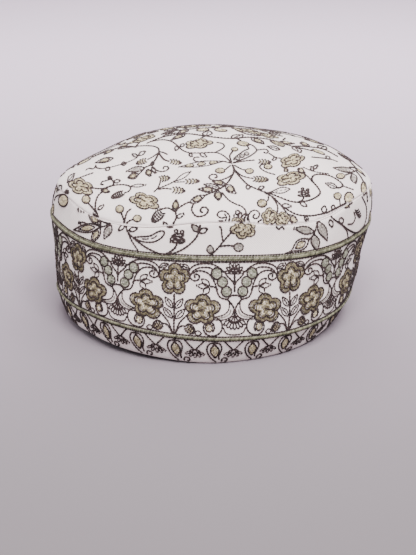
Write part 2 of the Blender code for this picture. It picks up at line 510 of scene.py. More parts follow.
def smoothRoute(points, step=0.5):
    # a soft curve through given points
    chosen = np.array(points, float)
    ring = np.vstack([2 * chosen[0] - chosen[1], chosen, 2 * chosen[-1] - chosen[-2]])
    curve = []
    for i in range(1, len(ring) - 2):
        a, b, c, d = ring[i - 1 : i + 3]
        count = max(2, math.ceil(np.linalg.norm(c - b) / step))
        t = (np.arange(count) / count)[:, None]
        bend = (2 * a - 5 * b + 4 * c - d) * t**2 + (3 * b - a - 3 * c + d) * t**3
        curve.append(0.5 * (2 * b + (c - a) * t + bend))
    curve.append(ring[-2:-1])
    return np.vstack(curve)


# motifs: each gives (thread role, stitch kind, points) in the units of its chart

def alongAxis(base, tip, shape):
    # shape holds (share of the length, offset as a share of the length)
    base, tip = np.array(base, float), np.array(tip, float)
    axis = tip - base
    side = np.array([-axis[1], axis[0]])
    shape = np.array(shape)
    return base + shape[:, :1] * axis + shape[:, 1:] * side


def leafOutline(base, tip, width, fullest=0.45, points=18):
    length = max(1e-6, math.dist(base, tip))
    half = width / 2 / length
    power = math.log(0.5) / math.log(fullest)
    share = np.linspace(0, 1, points)
    bulge = half * np.sin(np.pi * share**power) ** 1.1
    there = np.stack([share, bulge], -1)
    back = np.stack([share[::-1], -bulge[::-1]], -1)[1:]
    return alongAxis(base, tip, np.vstack([there, back]))


def leaned(centre, flat, tilt):
    lean = math.radians(tilt)
    spin = np.array([[math.cos(lean), math.sin(lean)], [-math.sin(lean), math.cos(lean)]])
    return np.array(centre) + flat @ spin


def ovalOutline(centre, width, height, tilt=0.0, points=20):
    turn = np.linspace(0, 2 * np.pi, points + 1)
    return leaned(centre, np.stack([width / 2 * np.cos(turn), height / 2 * np.sin(turn)], -1), tilt)


def flowerOutline(centre, width, height, stem, tilt=0.0, depth=0.36, lobes=5, points=90):
    # lobed ring; stem is the direction in degrees of the notch where the stem comes in
    turn = np.linspace(0, 2 * np.pi, points + 1)
    firstLobe = math.radians(stem + 180 / lobes)
    crest = np.abs(np.cos(lobes / 2 * (turn - firstLobe))) ** 0.6
    uneven = 1 + 0.05 * np.sin(2 * turn + stem) + 0.03 * np.sin(3 * turn + 2 * stem)
    reach = (1 - depth + depth * crest) * uneven
    flat = np.stack([width / 2 * reach * np.cos(turn), height / 2 * reach * np.sin(turn)], -1)
    return leaned(centre, flat, tilt)


def fillRows(outline, first, last, rows):
    # the outline again and again, smaller, as rows of filling
    middle = outline.mean(0)
    return [middle + (outline - middle) * share for share in np.linspace(first, last, rows)]


def lineMotif(points, kind="stem", role="outline"):
    return [(role, kind, smoothRoute(points))]


def leafMotif(base, tip, width, filling=None, kind="line"):
    outline = leafOutline(base, tip, width)
    made = [("outline", kind, outline)]
    if filling == "vein":
        made.append(("outline", "fine", alongAxis(base, tip, [(0.18, 0), (0.5, 0.02), (0.74, 0)])))
    elif filling == "pale":
        made += [("pale", "fine", row) for row in fillRows(outline, 0.55, 0.25, 2)]
    elif filling == "core":
        made.append(("outline", "fine", fillRows(outline, 0.60, 0.60, 1)[0]))
        made += [("core", "fill", row) for row in fillRows(outline, 0.36, 0.12, 2)]
    elif filling:
        made += [(filling, "fill", row) for row in fillRows(outline, 0.66, 0.15, 3)]
    return made


def berryMotif(centre, width, height, filling="core", rows=3):
    outline = ovalOutline(centre, width, height)
    made = [("outline", "line", outline)]
    if filling:
        made += [(filling, "fill", row) for row in fillRows(outline, 0.72, 0.10, rows)]
    return made


def flowerMotif(centre, width, height, stem, tilt=0.0, rows=3, filling="core"):
    outline = flowerOutline(centre, width, height, stem, tilt)
    deeper = flowerOutline(centre, width, height, stem, tilt, 0.5)
    made = [("outline", "line", outline)]
    made += [(filling, "fill", row) for row in fillRows(outline, 0.88, 0.76, 2)]
    made.append(("contour", "vein", fillRows(deeper, 0.69, 0.69, 1)[0]))
    for i, row in enumerate(fillRows(deeper, 0.55, 0.06, rows + 1)):
        made.append(("core" if i == 1 else filling, "fill", row))
    notch = outline[np.argmin(np.abs((np.linspace(0, 360, len(outline)) - stem + 180) % 360 - 180))]
    middle = np.array(centre, float)
    made.append(("outline", "vein", np.linspace(notch, middle + (middle - notch) * 0.15, 8)))
    return made


def budMotif(base, tip, width, bars=4, filling="core"):
    # an oval bud crossed by curved bars
    length = math.dist(base, tip)
    half = width / 2 / length
    made = []
    for i in range(bars):
        at = (i + 0.6) / (bars + 0.2)
        reach = half * math.sin(math.pi * (0.14 + 0.76 * at)) ** 0.7
        bar = [(at - 0.10, reach), (at + 0.05, 0.5 * reach), (at + 0.07, -0.5 * reach), (at - 0.08, -reach)]
        made.append(("outline", "line", smoothRoute(alongAxis(base, tip, bar), step=0.3)))
        if filling and i < bars - 1:
            space = [(at + 0.05, 0.75 * reach), (at + 0.16, 0.0), (at + 0.05, -0.75 * reach)]
            made.append((filling, "fine", smoothRoute(alongAxis(base, tip, space), step=0.3)))
    tipLoop = ovalOutline(alongAxis(base, tip, [(0.96, 0)])[0], 0.16 * length, 0.16 * length)
    made.append(("outline", "fine", tipLoop))
    return made


def coneMotif(base, tip, width):
    # tiers of flattened loops, widest near the stem, with two small rings on top
    length = math.dist(base, tip)
    half = width / 2 / length
    made = []
    for at, spread, sway in ((0.10, 1.0, 0.10), (0.34, 0.95, -0.08), (0.56, 0.72, 0.06)):
        ring = [
            (at + 0.10 * math.sin(turn) + sway * math.cos(turn), half * spread * math.cos(turn))
            for turn in np.linspace(0, 2 * math.pi, 15)
        ]
        made.append(("outline", "line", alongAxis(base, tip, ring)))
    for sway in (-0.42, 0.42):
        centre = alongAxis(base, tip, [(0.83, sway * half)])[0]
        made.append(("outline", "line", ovalOutline(centre, 0.24 * length, 0.24 * length, points=10)))
    return made


def podMotif(base, tip, width, beads=3):
    # a long pod with beads along its middle
    length = math.dist(base, tip)
    half = width / 2 / length
    made = [("outline", "fine", leafOutline(base, tip, width, 0.5, 26))]
    for i in range(beads):
        at = (i + 0.9) / (beads + 0.8)
        bead = [
            (at + 0.09 * math.cos(turn), 0.55 * half * math.sin(turn))
            for turn in np.linspace(0, 2 * math.pi, 13)
        ]
        ring = alongAxis(base, tip, bead)
        made.append(("outline", "fine", ring))
        made += [("core", "fill", row) for row in fillRows(ring, 0.55, 0.2, 2)]
    return made


def bareMotif(base, tip, width):
    # an unfilled pod with a few loose stitches along its middle
    made = [("outline", "fine", leafOutline(base, tip, width, 0.6, 22))]
    for at in (0.3, 0.5, 0.7):
        made.append(("pale", "fine", alongAxis(base, tip, [(at, 0.01), (at + 0.12, -0.01)])))
    return made


def palmetteMotif(base, reach, direction, spread, petals):
    # two tiers of narrow petals fanned out from a point
    made = []
    for count, start, end, width in ((petals, 0.40, 1.0, 0.22), (petals - 3, 0.04, 0.58, 0.20)):
        for i in range(count):
            turn = math.radians(direction + spread * (2 * i / (count - 1) - 1))
            way = np.array([math.cos(turn), math.sin(turn)])
            inner = np.array(base) + way * reach * start
            outer = np.array(base) + way * reach * end
            made.append(("outline", "fine", leafOutline(inner, outer, width * reach, 0.6, 12)))
    return made


motifs = {
    "line": lineMotif,
    "leaf": leafMotif,
    "berry": berryMotif,
    "flower": flowerMotif,
    "bud": budMotif,
    "cone": coneMotif,
    "pod": podMotif,
    "bare": bareMotif,
    "palmette": palmetteMotif,
}


shortNames = {  # motifs that are charted often, and what they are
    "thin": ("line", {"kind": "line"}),
    "hair": ("line", {"kind": "fine"}),
    "smallLeaf": ("leaf", {"kind": "fine"}),
    "seedLeaf": ("leaf", {"filling": "core"}),
    "veinLeaf": ("leaf", {"filling": "vein"}),
    "paleLeaf": ("leaf", {"filling": "pale"}),
    "fullLeaf": ("leaf", {"filling": "vineFill"}),
    "openBud": ("bud", {"filling": None}),
}
longestJump = 6 * mm  # a row of stitches breaks where its places are further apart


def drawItems(items, project, piece, roles, only=None):
    # only is None, "crown" or "band": the rest of a motif is cut off, as the seam cuts it
    drawn = []
    for name, *values in items:
        options = values.pop() if isinstance(values[-1], dict) else {}
        name, usual = shortNames.get(name, (name, {}))
        options = {**usual, **options}
        routes = []
        for role, kind, points in motifs[name](*values, **options):
            run = []
            for point in points:
                hit, onCrown = project(*point)
                inside = hit is not None and (only is None or onCrown == (only == "crown"))
                if inside and not (run and (hit - run[-1]).length > longestJump):
                    run.append(hit)
                else:
                    routes.append((role, kind, run))
                    run = [hit] if inside else []
            routes.append((role, kind, run))
        for role, kind, run in routes:
            sew(piece, roles[role], kind, run)
        drawn.append((name, routes))
    return drawn


# the band's border: nine repeats between two green rows

border = {
    "flowerAngles": (-50.8, -11.5, 26.0, 68.5, 110, 150.5, 190, 230, 269.5),
    "halfRepeat": 30.25,  # mm in the chart, from a tall flower to the next palmette
    "rowsApart": 39.8,  # mm in the chart
    "stripDepth": 18.2,  # mm of cloth from the lower row to the hem
    "upperRow": ((-135, 57.8), (-90, 58.2), (-60, 58.7), (-38, 57.2), (-8, 58.5), (6, 58.5), (28, 56.0),
                 (65, 55.5), (110, 56.2), (180, 57.2)),  # degrees, mm above the floor
    "lowerRow": ((-135, 17.4), (-90, 17.5), (-60, 18.2), (-38, 19.8), (-16, 18.3), (6, 16.0), (26, 15.0),
                 (45, 14.7), (90, 15.6), (180, 17.2)),
}


def rowHeight(row, angle):
    stations = np.array(border[row])
    spread = angle + np.array([-9.0, -4.5, 0.0, 4.5, 9.0])
    return float(np.interp(spread, stations[:, 0], stations[:, 1], period=360).mean()) * mm


def borderPlace(repeat, across, up):
    angles = border["flowerAngles"]
    here = angles[repeat]
    if across >= 0:
        apart = (angles[(repeat + 1) % len(angles)] - here) % 360
    else:
        apart = (here - angles[repeat - 1]) % 360
    angle = here + across / border["halfRepeat"] * apart / 2
    low, high = rowHeight("lowerRow", angle), rowHeight("upperRow", angle)
    if up >= 0:
        return angle, low + up / border["rowsApart"] * (high - low)
    hem = alongEdge(hemLine, angle) + 0.5 * mm
    return angle, max(hem, low + up / border["stripDepth"] * (low - hem))


halfBorder = [  # mm from a tall flower's axis and above the lower row; each item is also mirrored
    ("smallLeaf", (0.7, 14.6), (4.6, 20), 2.8, {"filling": "vein"}),
    ("smallLeaf", (0.7, 9.4), (5.6, 14.8), 2.9, {"filling": "vein"}),
    ("flower", (13.9, 15), 17.6, 15.6, 195, {"filling": "flowerFill"}),
    ("thin", [(7, 12.2), (4.6, 9.6), (2.6, 7), (1.2, 3.2), (0.4, 1.2)]),
    ("thin", [(1, 2), (2.3, 4.6), (4, 6), (6.2, 6)]),
    ("bud", (6, 6.2), (9.6, 2.8), 4.4),
    ("thin", [(6, 6.4), (7.6, 7.3), (9.4, 6.4), (10.4, 4.6), (10.5, 3)]),
    ("smallLeaf", (10.4, 3.2), (13.9, 2.6), 2.4),
    ("smallLeaf", (7.6, 35), (2.9, 36.9), 2.3, {"filling": "vein"}),
    ("thin", [(17.9, 26.7), (20.2, 26.4), (21.8, 25)]),
    ("smallLeaf", (17.7, 26.9), (13.6, 30.4), 2.7),
    ("smallLeaf", (17.3, 26.6), (11.3, 26.9), 2.6),
    ("smallLeaf", (17.5, 26.3), (14.6, 22.6), 2.8),
    ("thin", [(7.6, 32), (7.6, 34.2), (9.9, 36.6), (14, 37.7), (18.6, 37.6), (22.4, 36), (25.2, 33.6)]),
    ("thin", [(8.2, 31.6), (9.4, 33.8), (12.4, 35.6), (17.2, 35.9), (19.8, 34.8)]),
    ("thin", [(9, 32.6), (11.4, 34), (14.4, 34.1), (17.2, 32.9), (19.4, 30.2), (20.8, 27.2),
        (21.4, 24.4), (23, 21.4), (26.6, 20.2)]),
    ("thin", [(7.6, 32.6), (8.3, 30.4), (10.2, 29.3), (12.2, 30), (12.5, 31.7), (11.2, 32.5),
        (10.2, 31.6), (10.9, 30.8)]),
    ("berry", (21.2, 33), 5.2, 5.4, {"filling": "berryFill"}),
    ("berry", (24.1, 28.9), 5, 5.1, {"filling": "berryFill"}),
    ("berry", (26.1, 24.2), 5, 5.1, {"filling": "berryFill"}),
    ("thin", [(26.6, 20.2), (27.6, 21.6), (29.2, 22.3), (30.25, 22.3)]),
    ("thin", [(26.6, 20.2), (28.2, 18.6), (29.5, 16.6), (30.25, 14.2)]),
    ("hair", [(27.5, 18.8), (27.5, 16.4), (26.6, 14.2), (24.4, 12.6), (20.4, 11.6)]),
    ("hair", [(29.9, 15.4), (29.2, 13), (27.6, 11.2), (24.6, 10.2), (20.4, 10.2), (19.8, 11.2)]),
    ("hair", [(28.4, 15.4), (27.6, 13.2), (25.4, 11.8), (21.8, 11)], {"role": "pale"}),
    ("thin", [(25.4, 33.8), (26.4, 32), (29, 29.4), (30.1, 27.6)]),
    ("thin", [(19.6, 11.8), (22.2, 10.6), (23.7, 8.6), (23.9, 5.6), (22.6, 3.3), (20.6, 2.1),
        (17.6, 1.9), (15.4, 3.5), (14.7, 6.1), (15.7, 8.4), (17.7, 9.1), (19.5, 7.9), (20.1, 5.7),
        (19.2, 3.9)]),
    ("berry", (17.4, 6), 3.2, 4, {"rows": 2}),
    ("hair", [(24.6, 6.2), (25.6, 3.7), (27.6, 2.6), (30.25, 2.3)]),
]
tallFlower = [  # on the flower's own axis
    ("line", [(0, 22), (0.1, 12), (0, 1)]),
    ("flower", (0, 29.4), 15.7, 16.2, 270, {"filling": "flowerFill"}),
]
palmettes = [  # on the axis halfway between two tall flowers
    ("palmette", (30.25, 33), 5.2, 90, 80, 7),
    ("line", [(30.25, 33.8), (30.25, 24)]),
    ("line", [(30.25, 14.6), (30.25, 12)]),
    ("palmette", (30.25, 12.4), 7.4, 270, 48, 7),
]
pendant = [  # below the lower row, hanging from across = 0
    ("line", [(0, -1), (0.1, -3.6)]),
    ("thin", [(0, -2.6), (-2.6, -3.6), (-3.8, -7), (-3.2, -11), (-1.4, -14.6), (1, -17.2)]),
    ("thin", [(0, -2.6), (2.6, -3.2), (3.8, -6.2), (3.2, -9.6), (2.4, -12.6), (2.6, -15.4)]),
    ("leaf", (0, -3.8), (0.5, -14.2), 4.4, {"filling": "pendantFill"}),
    ("thin", [(4.2, -17.2), (4, -15.4), (5.4, -14.1), (6.9, -15), (6.6, -16.7), (5.5, -16.6)]),
    ("thin", [(5, -1.4), (7.4, -4.8), (10.1, -8.4)]),
    ("thin", [(15.2, -1.4), (12.8, -4.6), (10.1, -8.4)]),
    ("palmette", (10.1, -7.6), 6.2, 270, 50, 5),
]
bandRoles = {
    "outline": "brownThread",
    "contour": "brownThread",
    "core": "khakiThread",
    "flowerFill": "oliveThread",
    "berryFill": "sageThread",
    "pale": "paleThread",
    "pendantFill": "khakiThread",
}


def drawBorder():
    repeats = len(border["flowerAngles"])
    for repeat in range(repeats):
        for side in (1, -1):

            def place(across, up):
                return fromBand(*borderPlace(repeat, side * across, up))

            drawItems(halfBorder, place, "border", bandRoles)
            if side == 1:
                drawItems(tallFlower + palmettes, place, "border", bandRoles)
        for third in range(3):
            start = third * border["halfRepeat"] * 2 / 3

            def hang(across, up):
                beyond = start + across
                if beyond > border["halfRepeat"]:
                    return fromBand(*borderPlace((repeat + 1) % repeats, beyond - 2 * border["halfRepeat"], up))
                return fromBand(*borderPlace(repeat, beyond, up))

            drawItems(pendant, hang, "border", bandRoles)
        print("border repeat", repeat + 1, "of", repeats)


rows = {  # beside each row's cord, offsets in mm above it: thread, stitch kind
    "upperRow": ((2.0, "brownThread", "fine"), (1.2, "greenThread", "fine"), (-1.35, "brownThread", "line")),
    "lowerRow": ((1.3, "brownThread", "fine"), (-1.3, "brownThread", "fine")),
}
cord = {"turns": 500, "halfWidth": 0.85 * mm, "slant": 0.5}  # slant in degrees round the cap


def drawRows():
    for row, strands in rows.items():
        for offset, thread, kind in strands:
            angles = np.arange(-180, 180.5, 0.75)
            route = [fromBand(a, rowHeight(row, a) + offset * mm)[0] for a in angles]
            sew("rows", thread, kind, route)
        for i in range(cord["turns"]):
            angle = 360 * i / cord["turns"] - 180
            ply = []
            for share in (-1, 0, 1):
                at = angle + share * cord["slant"]
                ply.append(fromBand(at, rowHeight(row, at) + share * cord["halfWidth"])[0])
            sew("rows", "greenThread", "ply", ply)
    print("rows sewn")


drawBorder()
drawRows()


# vines of the crown and of the band's top, read off the photo in its pixels

crownStar = [  # rays from one point near the middle of the crown
    ("thin", [(232, 164), (227, 158.7), (221, 154.5), (214, 152.8), (200, 153.3), (189.6, 153),
        (182.9, 150.7), (177.3, 145.7), (171.7, 141.8), (162.8, 140.1), (151.6, 141.8)]),
    ("thin", [(215.3, 152.8), (221.8, 149.2), (224.2, 146.3), (222.4, 143.9), (216.5, 142.7)]),
    ("thin", [(231.6, 162.2), (229.7, 156.3), (232.6, 151.5)]),
    ("berry", (234.6, 149.6), 6, 3.4),
    ("thin", [(234, 160.6), (234.6, 158), (243.7, 151.2), (248.6, 149), (247, 145.4), (251.9, 145.4),
        (256.6, 150.4), (251.9, 155.1), (244.8, 158.9), (233, 163)]),
    ("berry", (237.6, 158.6), 4, 3, {"filling": "pale", "rows": 2}),
    ("berry", (242, 156.2), 4, 3, {"filling": "pale", "rows": 2}),
    ("berry", (246.6, 154), 4, 3, {"filling": "pale", "rows": 2}),
    ("thin", [(256.6, 150.4), (264.9, 149.6), (268.2, 151.6), (266.1, 153.6), (263.5, 152.4)]),
    ("thin", [(233, 163.4), (243.7, 161.4), (254.5, 160.4)]),
    ("bud", (257.5, 161.6), (270, 162.6), 5.2),
    ("thin", [(234, 165.4), (241.3, 169.3), (246, 170.6)]),
    ("berry", (249.4, 171.4), 7.6, 4.8),
    ("thin", [(230.7, 165.4), (225.4, 169.9)]),
    ("berry", (220.1, 171), 9, 4.8),
    ("thin", [(231, 163.6), (224, 161.6)]),
    ("pod", (224, 161.4), (179, 167.2), 5),
    ("line", [(232.4, 165), (233.8, 170.5), (232, 176.3), (226, 184.6), (217, 190.5), (205.2, 195.6)]),
    ("thin", [(233.6, 174), (227.1, 178.1), (218.9, 180.7), (211.8, 180), (209, 177.4), (211.4, 174.9),
        (216, 175), (217, 177.4), (214.4, 178.2)]),
    ("seedLeaf", (226, 184.6), (212, 181.4), 4.6),
    ("veinLeaf", (220, 188.6), (204, 184.4), 4.6),
    ("seedLeaf", (216.5, 190.4), (198, 189.4), 5.4),
    ("seedLeaf", (225.5, 185.4), (235.6, 193.6), 7.2),
    ("seedLeaf", (217.6, 190.8), (218.6, 200.8), 7.4),
    ("thin", [(221.8, 192.4), (228.3, 199.9), (235.4, 204.1), (241.3, 206.4), (245.4, 210.6),
        (246, 216)]),
    ("cone", (247.4, 219.6), (234.4, 213.2), 10),
    ("thin", [(249.6, 223.4), (248.4, 216.5), (250.7, 211.9), (255.4, 210.4), (259.2, 213.4),
        (258, 217.6), (254.3, 218.4), (253.2, 215.8), (255.2, 214.4)]),
]
crownFront = [  # left and below the star
    ("seedLeaf", (189.8, 203), (205.4, 195.4), 6.4),
    ("line", [(194, 203.2), (191.8, 209.9), (196.3, 216.2), (204.1, 215.6), (208.2, 211),
        (205.4, 207.4), (201.2, 208.4), (200.8, 211.8), (203.2, 212.4)]),
    ("line", [(189.8, 202), (182.9, 205.4), (176.2, 211), (176.4, 217.7), (173.2, 224), (172.6, 226.8),
        (168.3, 227.2)]),
    ("leaf", (168.3, 227.2), (163, 221.8), 3),
    ("seedLeaf", (175.2, 212), (176.2, 199.6), 6.2),
    ("leaf", (176.7, 217.9), (183.8, 214), 3.6),
    ("line", [(175.6, 212.1), (168.3, 208.2), (160.6, 209.6)]),
    ("openBud", (163, 210.6), (152.6, 221.4), 10.5, {"bars": 6}),
    ("flower", (144.9, 201.5), 31, 15.6, -160, {"tilt": 17}),
    ("thin", [(153.8, 192.4), (158, 188), (160.5, 182)]),
    ("bud", (158.6, 179.6), (169.4, 178), 6.6),
    ("thin", [(158.3, 188.9), (169.5, 184.2), (175.4, 181)]),
    ("pod", (175.4, 181.2), (191, 171.6), 3.8, {"beads": 0}),
    ("hair", [(173.9, 182.5), (185, 182)]),
    ("bud", (184.4, 182), (198.6, 181.3), 5.6),
    ("thin", [(158.3, 189.8), (165, 188.7), (171.9, 189.4)]),
    ("bud", (171.7, 190), (184.4, 191.2), 7.4),
    ("line", [(131.5, 208.8), (127, 213.2), (124.3, 223.8)]),
    ("berry", (119.8, 209.3), 7.6, 7.4),
    ("line", [(121.5, 213.2), (123.7, 218.8), (124.6, 223.8)]),
    ("berry", (137.4, 218.6), 7.6, 6.2),
    ("line", [(134.4, 219), (129.3, 221), (125.4, 224.6)]),
    ("leaf", (124.8, 224.9), (118.4, 230.8), 3.6),
]
crownRight = [
    ("line", [(233.4, 167), (235.4, 171.6), (240.1, 177.5), (247.2, 184.6), (254.3, 188.3),
        (262.5, 191.7), (270.8, 194), (280.2, 197.8), (292, 201.9), (302.6, 201.9), (313.3, 198.8),
        (319.9, 193.6), (318, 188.1), (312.3, 181.1), (312.7, 176.5), (318, 174.6), (328.6, 175.8),
        (338, 180.7), (342.4, 185.2), (340.2, 187.8), (336.9, 188.1)]),
    ("veinLeaf", (337, 187.8), (325.6, 183.4), 4.6),
    ("thin", [(341.6, 185.8), (353.4, 189.9)]),
    ("leaf", (248.4, 185), (247.6, 189.9), 4),
    ("leaf", (258.4, 189), (264.4, 186.8), 3.2),
    ("bare", (269, 192.6), (290.2, 189), 5.6),
    ("thin", [(235, 170.5), (242.5, 176.3), (253.4, 178.9)]),
    ("bud", (252.6, 179.2), (267.6, 180), 6.4, {"bars": 5}),
    ("line", [(264.4, 193), (273.1, 197.6), (280.2, 204.7), (288.5, 210.6), (297.9, 214.9),
        (309.7, 215.9), (318, 214.7), (327.4, 212.3), (336.9, 207.6), (345, 203.4)]),
    ("thin", [(271.4, 196.4), (276.9, 204.7), (277.3, 211.7), (274.3, 220)]),
    ("berry", (261.9, 203.5), 9, 7.6),
    ("thin", [(268.4, 196), (268, 199.9), (265.2, 202.4)]),
    ("thin", [(280.4, 204.8), (284.4, 210.2), (288.6, 215.3)]),
    ("seedLeaf", (288.5, 215), (298, 224.4), 6.6),
    ("leaf", (281.4, 205.6), (291, 206.4), 4.2),
    ("cone", (303.8, 196.8), (305.4, 188.2), 12.4),
    ("thin", [(303.8, 196.8), (302.6, 199.9), (299.1, 201.9)]),
    ("leaf", (299.8, 202.4), (307.2, 206.6), 3.8),
    ("flower", (292, 161), 26, 12.4, 180, {"tilt": -14}),
    ("flower", (290.3, 178.9), 31, 12.6, 180, {"tilt": -11}),
    ("thin", [(275.3, 175), (266.1, 172.2), (260.2, 168.1), (260.8, 165.2), (264, 164.6)]),
    ("berry", (268, 167), 7.6, 4.4),
    ("bud", (286, 172.6), (286.4, 168.8), 5, {"bars": 3}),
    ("seedLeaf", (297.6, 169), (304.6, 173), 4.6),
    ("hair", [(302.6, 167.2), (313.3, 171.6), (328.6, 174)]),
    ("thin", [(304, 173.6), (308.6, 177.6), (312.3, 182.2)]),
    ("leaf", (313, 169), (317.6, 165.6), 3),
    ("leaf", (312.8, 171.4), (311.4, 167), 3),
    ("berry", (337.4, 196.2), 7, 6.4),
    ("thin", [(339.4, 199), (340, 205.6)]),
    ("berry", (348.8, 198.4), 9, 12, {"rows": 4}),
    ("seedLeaf", (342, 205), (349, 206.6), 4.4),
    ("leaf", (323.6, 213), (324.4, 205.6), 5),
    ("leaf", (332.6, 209.6), (333.4, 204.8), 3.4),
    ("line", [(327.4, 212.9), (333.3, 218.8), (341.6, 224.7), (349.8, 230.6), (355.7, 232.6),
        (360.3, 230)]),
    ("thin", [(341.6, 224.7), (346.3, 230.6), (347.9, 238)]),
    ("leaf", (329.6, 219.4), (332.2, 227.4), 4),
    ("thin", [(353.4, 211.7), (354.8, 217.6), (352.2, 223.3), (347.3, 224.1)]),
    ("berry", (341, 220.4), 4.4, 5.4, {"filling": None}),
    ("openBud", (356, 208.6), (359.6, 217), 4.6),
    ("thin", [(361.4, 196.4), (365.4, 204.8), (366.2, 214.8), (363.8, 224.8), (359.8, 230)]),
]
crownLeft = [
    ("flower", (81.3, 187), 26, 15.4, 0, {"tilt": 14}),
    ("thin", [(89.5, 187.7), (100.3, 188.9), (107, 187.7), (115.9, 185.3), (124.8, 185.1), (130.4, 187),
        (129.5, 190.9), (124, 193.6)]),
    ("openBud", (124, 192.8), (112, 197.4), 6.6, {"bars": 6}),
    ("pod", (130.6, 186.5), (145.8, 185.1), 2.8, {"beads": 0}),
    ("line", [(108.1, 187.9), (102.5, 192), (98, 196.5), (95.8, 203.2), (95.8, 209.9), (97.5, 213.6),
        (99.4, 217.7), (103.6, 222.1), (109.2, 223.5), (111.6, 222.1)]),
    ("seedLeaf", (101, 189.6), (110, 192.4), 3.8),
    ("thin", [(105.6, 187.9), (112.6, 185.2), (113.7, 182.6), (111.4, 179.7), (107, 180.8),
        (102.5, 182), (101.2, 184.4), (103.9, 185)]),
    ("openBud", (110.6, 180.4), (109.4, 176.6), 4.6, {"bars": 3}),
    ("leaf", (113.7, 182.2), (120.8, 180.6), 3.2),
    ("berry", (63.6, 200.6), 9.5, 12, {"rows": 4}),
    ("thin", [(54.6, 200.6), (56.7, 196.3), (62.3, 194.4), (66.8, 196), (70, 198.4), (74.6, 203.6)]),
    ("openBud", (66.8, 194.4), (67.4, 190), 4.6, {"bars": 3}),
    ("berry", (86.3, 199.6), 7.8, 7.6),
    ("line", [(88.5, 203.4), (92.5, 207.6), (96.9, 213.4)]),
    ("openBud", (86, 211.6), (78, 209), 3.6, {"bars": 3}),
    ("leaf", (98, 209.9), (103.8, 205.2), 3),
    ("seedLeaf", (101.2, 224), (88.8, 214.6), 7.4),
    ("leaf", (100.8, 222), (93.4, 213.4), 3),
    ("line", [(99.4, 217.7), (101.2, 222.4), (100.8, 227)]),
    ("seedLeaf", (100.4, 226.6), (73.6, 229.8), 8.6),
    ("leaf", (88, 225.4), (79, 222.4), 3.4),
    ("seedLeaf", (100.4, 227.4), (91.4, 243), 7.4),
    ("paleLeaf", (111.4, 224.8), (104.4, 238.4), 7.2),
    ("thin", [(100.8, 227), (106, 225.6), (111.4, 223)]),
]
crownUpperLeft = [
    ("thin", [(159, 153), (158.3, 148.5), (151.6, 146.3), (140.4, 146.3), (129.3, 147.8), (118, 149.6)]),
    ("thin", [(159, 151.8), (163.9, 153), (167.6, 154.8)]),
    ("thin", [(158.6, 153), (153, 157), (147.4, 160)]),
    ("bud", (147.4, 160.2), (136.8, 163.6), 5.6),
    ("line", [(158.6, 154), (155, 160.8), (150.5, 165.2), (144.9, 168)]),
    ("paleLeaf", (144.9, 168), (126.6, 171.4), 5),
    ("thin", [(144.9, 168.2), (141, 172.6), (138.2, 174.7)]),
    ("seedLeaf", (138.6, 174.4), (127.8, 178.2), 6),
    ("seedLeaf", (147.4, 169.6), (150.2, 176.4), 6),
    ("leaf", (151.4, 166), (153.8, 161.4), 2.8),
    ("leaf", (152, 167), (155.6, 173.4), 3.4),
    ("thin", [(151.7, 167.4), (158.3, 171.2), (163.9, 171.6), (168.5, 169.3), (167.4, 166.8),
        (163.8, 167.3), (163.4, 169.3)]),
    ("line", [(159, 153.5), (163.9, 159.6), (169.5, 161.9)]),
    ("bud", (169.3, 161.6), (180.8, 163.2), 5.6),
    ("thin", [(199.6, 157.6), (195.4, 157.6), (193.6, 159.6), (197, 161.9), (206.3, 161.3)]),
    ("leaf", (177.6, 146.4), (175.6, 151), 3.6),
    ("leaf", (180.4, 146.6), (184.6, 144.4), 3),
    ("leaf", (190, 153.4), (191.4, 156.8), 3),
    ("leaf", (200, 153.6), (206.4, 157), 3.6),
    ("seedLeaf", (113.6, 158.4), (95.6, 163), 4.6),
    ("thin", [(95.8, 165.2), (96.9, 168), (101, 169)]),
    ("hair", [(101, 169), (109.2, 167.8), (122.6, 164.1), (136, 158.5), (140.4, 151.8)]),
    ("leaf", (110, 167.6), (105.6, 170.6), 3.4),
    ("veinLeaf", (121.6, 164.2), (126.4, 163.6), 3.4),
    ("leaf", (138.6, 155.6), (145.8, 151.4), 3.2),
    ("leaf", (138, 157), (132, 154.2), 2.8),
    ("thin", [(85.8, 170.7), (89.1, 168.6), (93.6, 169.1), (95.8, 166.2)]),
    ("thin", [(66.8, 183), (73.5, 180.4), (86.9, 175.3), (93.6, 173)]),
    ("veinLeaf", (68, 182), (74.6, 173.6), 4.4),
    ("leaf", (61.6, 185.4), (58.4, 190.4), 4),
]
crownFar = [  # towards the far edge and the right shoulder
    ("veinLeaf", (280, 150), (267.4, 146.6), 3.8),
    ("thin", [(268.6, 153.4), (275.5, 157.6), (281, 158.6)]),
    ("leaf", (276.4, 157.8), (272.6, 160.4), 2.6),
    ("thin", [(311, 157.3), (328.6, 159.2), (337.4, 162)]),
    ("leaf", (330, 159.2), (325.4, 156.6), 3),
    ("paleLeaf", (354.6, 171.6), (333, 168.1), 4.8),
    ("paleLeaf", (352, 174), (355.6, 184), 6.4),
    ("thin", [(352.2, 172.8), (343.9, 175.8)]),
    ("berry", (340.4, 176.4), 8, 5),
    ("line", [(355, 170.6), (361.4, 178.7), (365.9, 190.5), (366.9, 202)]),
    ("berry", (363.4, 188.6), 5, 13, {"rows": 4}),
]
